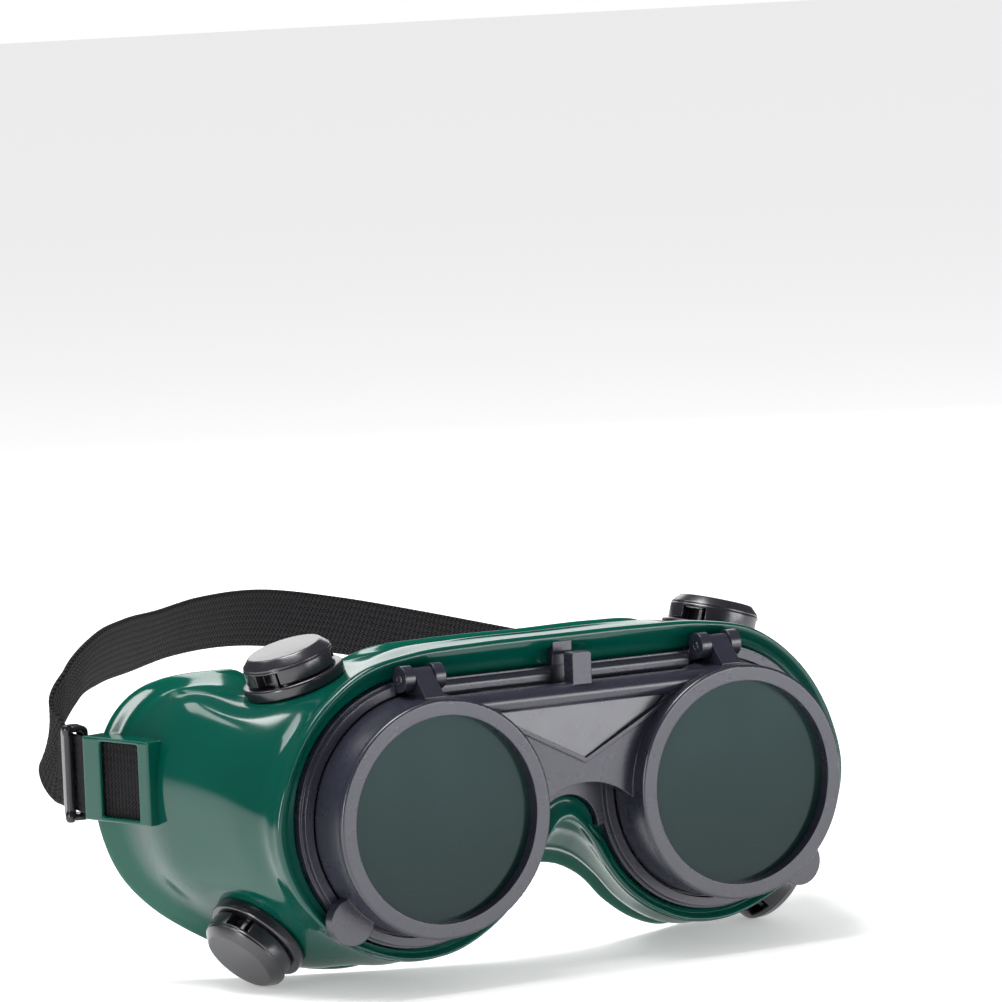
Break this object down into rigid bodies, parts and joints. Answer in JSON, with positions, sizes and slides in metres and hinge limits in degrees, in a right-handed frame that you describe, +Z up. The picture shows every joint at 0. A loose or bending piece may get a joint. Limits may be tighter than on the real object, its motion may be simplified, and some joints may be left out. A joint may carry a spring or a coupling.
{
  "type": "welding goggles",
  "caption": "Flip-front welding goggles: soft PVC mask, moulded frames with round dark and clear lenses, capped side vents and an elastic head strap.",
  "frame": {"origin": "midway between the two lens centres, in the plane of the flip frame's front rims", "axes": "+X is the wearer's left, -Y is forward, the way the wearer looks, +Z is up"},
  "size_m": [0.1852, 0.1601, 0.0788],
  "materials": {
    "mask_pvc": "glossy translucent green soft PVC",
    "frame_plastic": "semi-gloss black moulded plastic",
    "ring_plastic": "gloss black moulded plastic",
    "vent_plastic": "gloss black moulded plastic",
    "filter_glass": "dark green filter glass",
    "clear_glass": "clear cover glass",
    "strap_elastic": "ribbed knitted elastic",
    "slider_plastic": "satin black moulded plastic",
    "pin_steel": "plain steel wire"
  },
  "bodies": {
    "goggles": {"mask_body": "mask_pvc", "front_frame": "frame_plastic", "head_strap": "strap_elastic", "hinge_pin_right": "pin_steel", "clear_lens_right": "clear_glass", "vent_base_top_right": "vent_plastic", "vent_cap_top_right": "vent_plastic", "vent_base_bottom_right": "vent_plastic", "vent_cap_bottom_right": "vent_plastic", "hinge_pin_left": "pin_steel", "clear_lens_left": "clear_glass", "vent_base_top_left": "vent_plastic", "vent_cap_top_left": "vent_plastic", "vent_base_bottom_left": "vent_plastic", "vent_cap_bottom_left": "vent_plastic"},
    "flip": {"flip_frame": "frame_plastic", "filter_lens_right": "filter_glass", "filter_lens_left": "filter_glass", "filter_retaining_ring_right": "ring_plastic", "filter_retaining_ring_left": "ring_plastic"},
    "slider": {"strap_slider": "slider_plastic"},
    "clear_ring_right": {"clear_retaining_ring_right": "ring_plastic"},
    "clear_ring_left": {"clear_retaining_ring_left": "ring_plastic"}
  },
  "joints": [
    {"name": "flip_hinge", "type": "hinge", "parent": "goggles", "child": "flip", "pos_m": [0, 0.01, 0.031], "axis": [-1, 0, 0], "range_deg": [0, 80]},
    {"name": "slider_slide", "type": "slide", "parent": "goggles", "child": "slider", "axis": [0.1409, 0.99, -0.0056], "range_m": [0, 0.0055]},
    {"name": "clear_ring_right_turn", "type": "hinge", "parent": "goggles", "child": "clear_ring_right", "pos_m": [-0.0393, 0.022, 0], "axis": [0, 1, 0], "range_deg": [0, 30]},
    {"name": "clear_ring_left_turn", "type": "hinge", "parent": "goggles", "child": "clear_ring_left", "pos_m": [0.0393, 0.022, 0], "axis": [0, 1, 0], "range_deg": [0, 30]}
  ]
}
